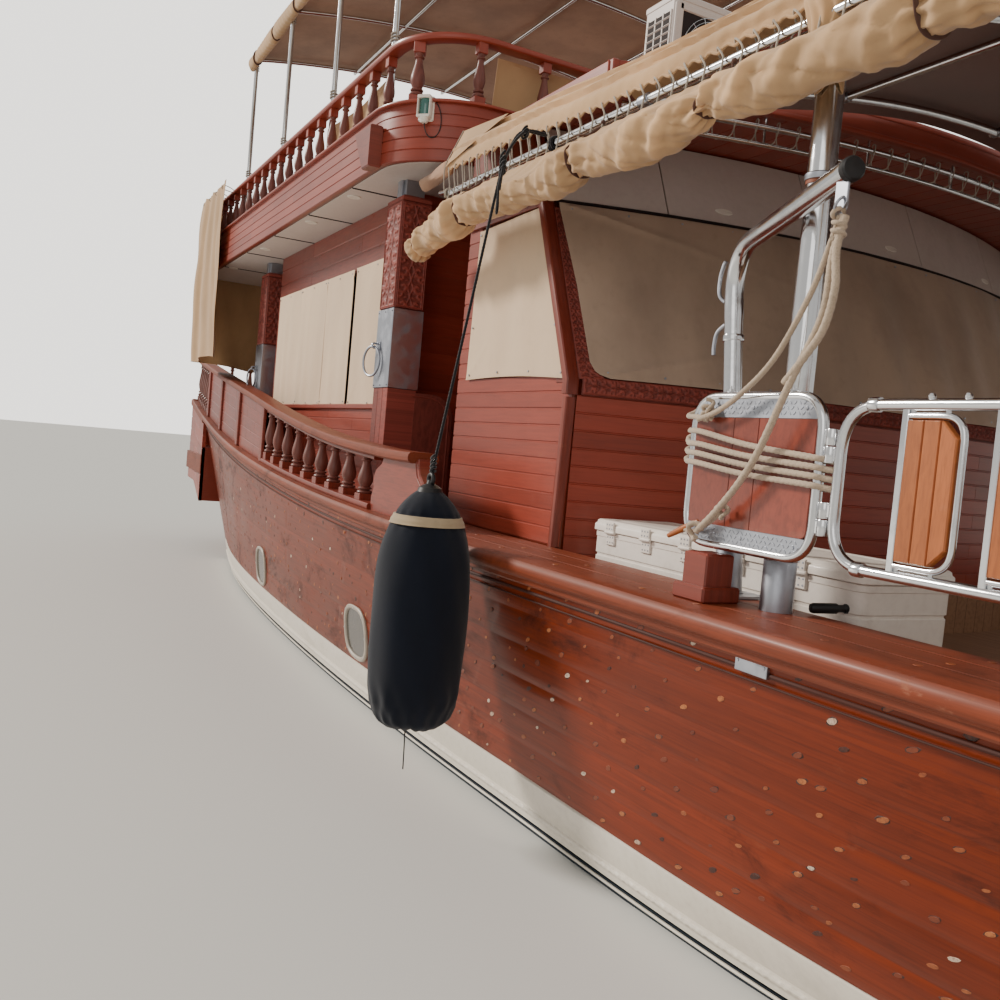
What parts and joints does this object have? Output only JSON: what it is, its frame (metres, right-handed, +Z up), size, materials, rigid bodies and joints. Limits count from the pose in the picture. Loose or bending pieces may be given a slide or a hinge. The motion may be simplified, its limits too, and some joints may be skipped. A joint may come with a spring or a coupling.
{
  "type": "passenger dhow",
  "caption": "Decked wooden Gulf dhow afloat, with deckhouse, upper deck, awnings, davit, stowed boarding ladder, fender, mast with furled lateen yard, rudder and propeller.",
  "frame": {"origin": "On the waterline amidships on the centreline.", "axes": "+X to the bow, +Y to port, +Z up."},
  "size_m": [22.82, 6.062, 13.0991],
  "materials": {
    "teak": "varnished red-brown teak",
    "dark_teak": "varnished dark teak",
    "white_paint": "white painted planking",
    "antifouling": "matt navy bottom paint",
    "stainless_steel": "polished",
    "bronze": "worn cast bronze",
    "canvas": "tan canvas",
    "curtain_cloth": "cream curtain cloth",
    "fender_cloth": "navy knitted cover",
    "chest_plastic": "matt white",
    "white_metal": "satin white",
    "green_lens": "clear green",
    "red_lens": "clear red"
  },
  "bodies": {
    "boat": {"hull_bottom": "antifouling", "hull_band": "white_paint", "hull_topsides": "teak", "covering_board_starboard": "teak", "covering_board_port": "teak", "bulwark_starboard": "teak", "bulwark_port": "teak", "stern_gallery": "teak", "front_side_wall_starboard": "teak", "front_side_wall_port": "teak", "saloon_side_wall_starboard": "teak", "saloon_side_wall_port": "teak", "post_fore_starboard": "teak", "post_fore_port": "teak", "post_aft_starboard": "teak", "post_aft_port": "teak", "upper_deck": "teak", "upper_balustrade": "teak", "bitt_starboard": "teak", "bitt_port": "teak", "mast": "teak", "stem_post": "dark_teak", "front_wall": "dark_teak", "passage_fore_wall": "dark_teak", "passage_aft_wall": "dark_teak", "saloon_aft_wall": "dark_teak", "front_roof": "dark_teak", "top_awning": "canvas", "aft_drape": "canvas", "foredeck_canvas": "canvas", "roof_side_canvas_starboard": "canvas", "roof_side_canvas_port": "canvas", "rolled_valance_starboard": "canvas", "rolled_valance_port": "canvas", "front_side_curtain_starboard": "curtain_cloth", "front_side_curtain_port": "curtain_cloth", "saloon_curtain_starboard": "curtain_cloth", "saloon_curtain_port": "curtain_cloth", "front_curtain": "curtain_cloth", "top_awning_frame": "stainless_steel", "awning_frame": "stainless_steel", "davit_socket": "stainless_steel", "boarding_ladder": "stainless_steel", "mast_stays": "stainless_steel", "ice_chest": "chest_plastic", "air_conditioner": "white_metal", "sidelight_starboard": "green_lens", "sidelight_port": "red_lens"},
    "rudder": {"rudder": "bronze"},
    "propeller": {"propeller": "bronze"},
    "davit": {"davit_arm": "stainless_steel"},
    "platform": {"boarding_platform": "teak"},
    "chest_lid": {"ice_chest_lid": "chest_plastic"},
    "front_door": {"front_room_door": "teak"},
    "rear_door": {"aft_door": "teak"},
    "yard_and_sail": {"yard": "teak", "furled_sail": "canvas"},
    "fender": {"fender_starboard": "fender_cloth"}
  },
  "joints": [
    {"name": "rudder_hinge", "type": "hinge", "parent": "boat", "child": "rudder", "pos_m": [-8.08, 0, -0.9], "axis": [0, 0, 1], "range_deg": [-35, 35]},
    {"name": "propeller_spin", "type": "hinge", "parent": "boat", "child": "propeller", "pos_m": [-7.55, 0, -0.85], "axis": [1, 0, 0], "continuous": true},
    {"name": "davit_slew", "type": "hinge", "parent": "boat", "child": "davit", "pos_m": [2.56, -2.27, 1.422], "axis": [0.1139, 0.0072, -0.9935], "range_deg": [0, 100]},
    {"name": "platform_hinge", "type": "hinge", "parent": "boat", "child": "platform", "pos_m": [3.238, -2.505, 1.9], "axis": [0, 0, 1], "range_deg": [0, 90]},
    {"name": "chest_lid_hinge", "type": "hinge", "parent": "boat", "child": "chest_lid", "pos_m": [2.2, -2.137, 1.5303], "axis": [1, 0, 0], "range_deg": [0, 90]},
    {"name": "front_room_door_hinge", "type": "hinge", "parent": "boat", "child": "front_door", "pos_m": [-0.354, 0.372, 2.2], "axis": [0, 0, -1], "range_deg": [0, 90]},
    {"name": "aft_door_hinge", "type": "hinge", "parent": "boat", "child": "rear_door", "pos_m": [-5.284, 0.372, 2.2], "axis": [0, 0, -1], "range_deg": [0, 90]},
    {"name": "yard_swing", "type": "hinge", "parent": "boat", "child": "yard_and_sail", "pos_m": [5.8, 0, 7.5], "axis": [0, 0, 1], "range_deg": [-8, 12]},
    {"name": "fender_swing", "type": "hinge", "parent": "boat", "child": "fender", "pos_m": [1.052, -2.42, 3.53], "axis": [-1, 0, 0], "range_deg": [0, 20]}
  ]
}
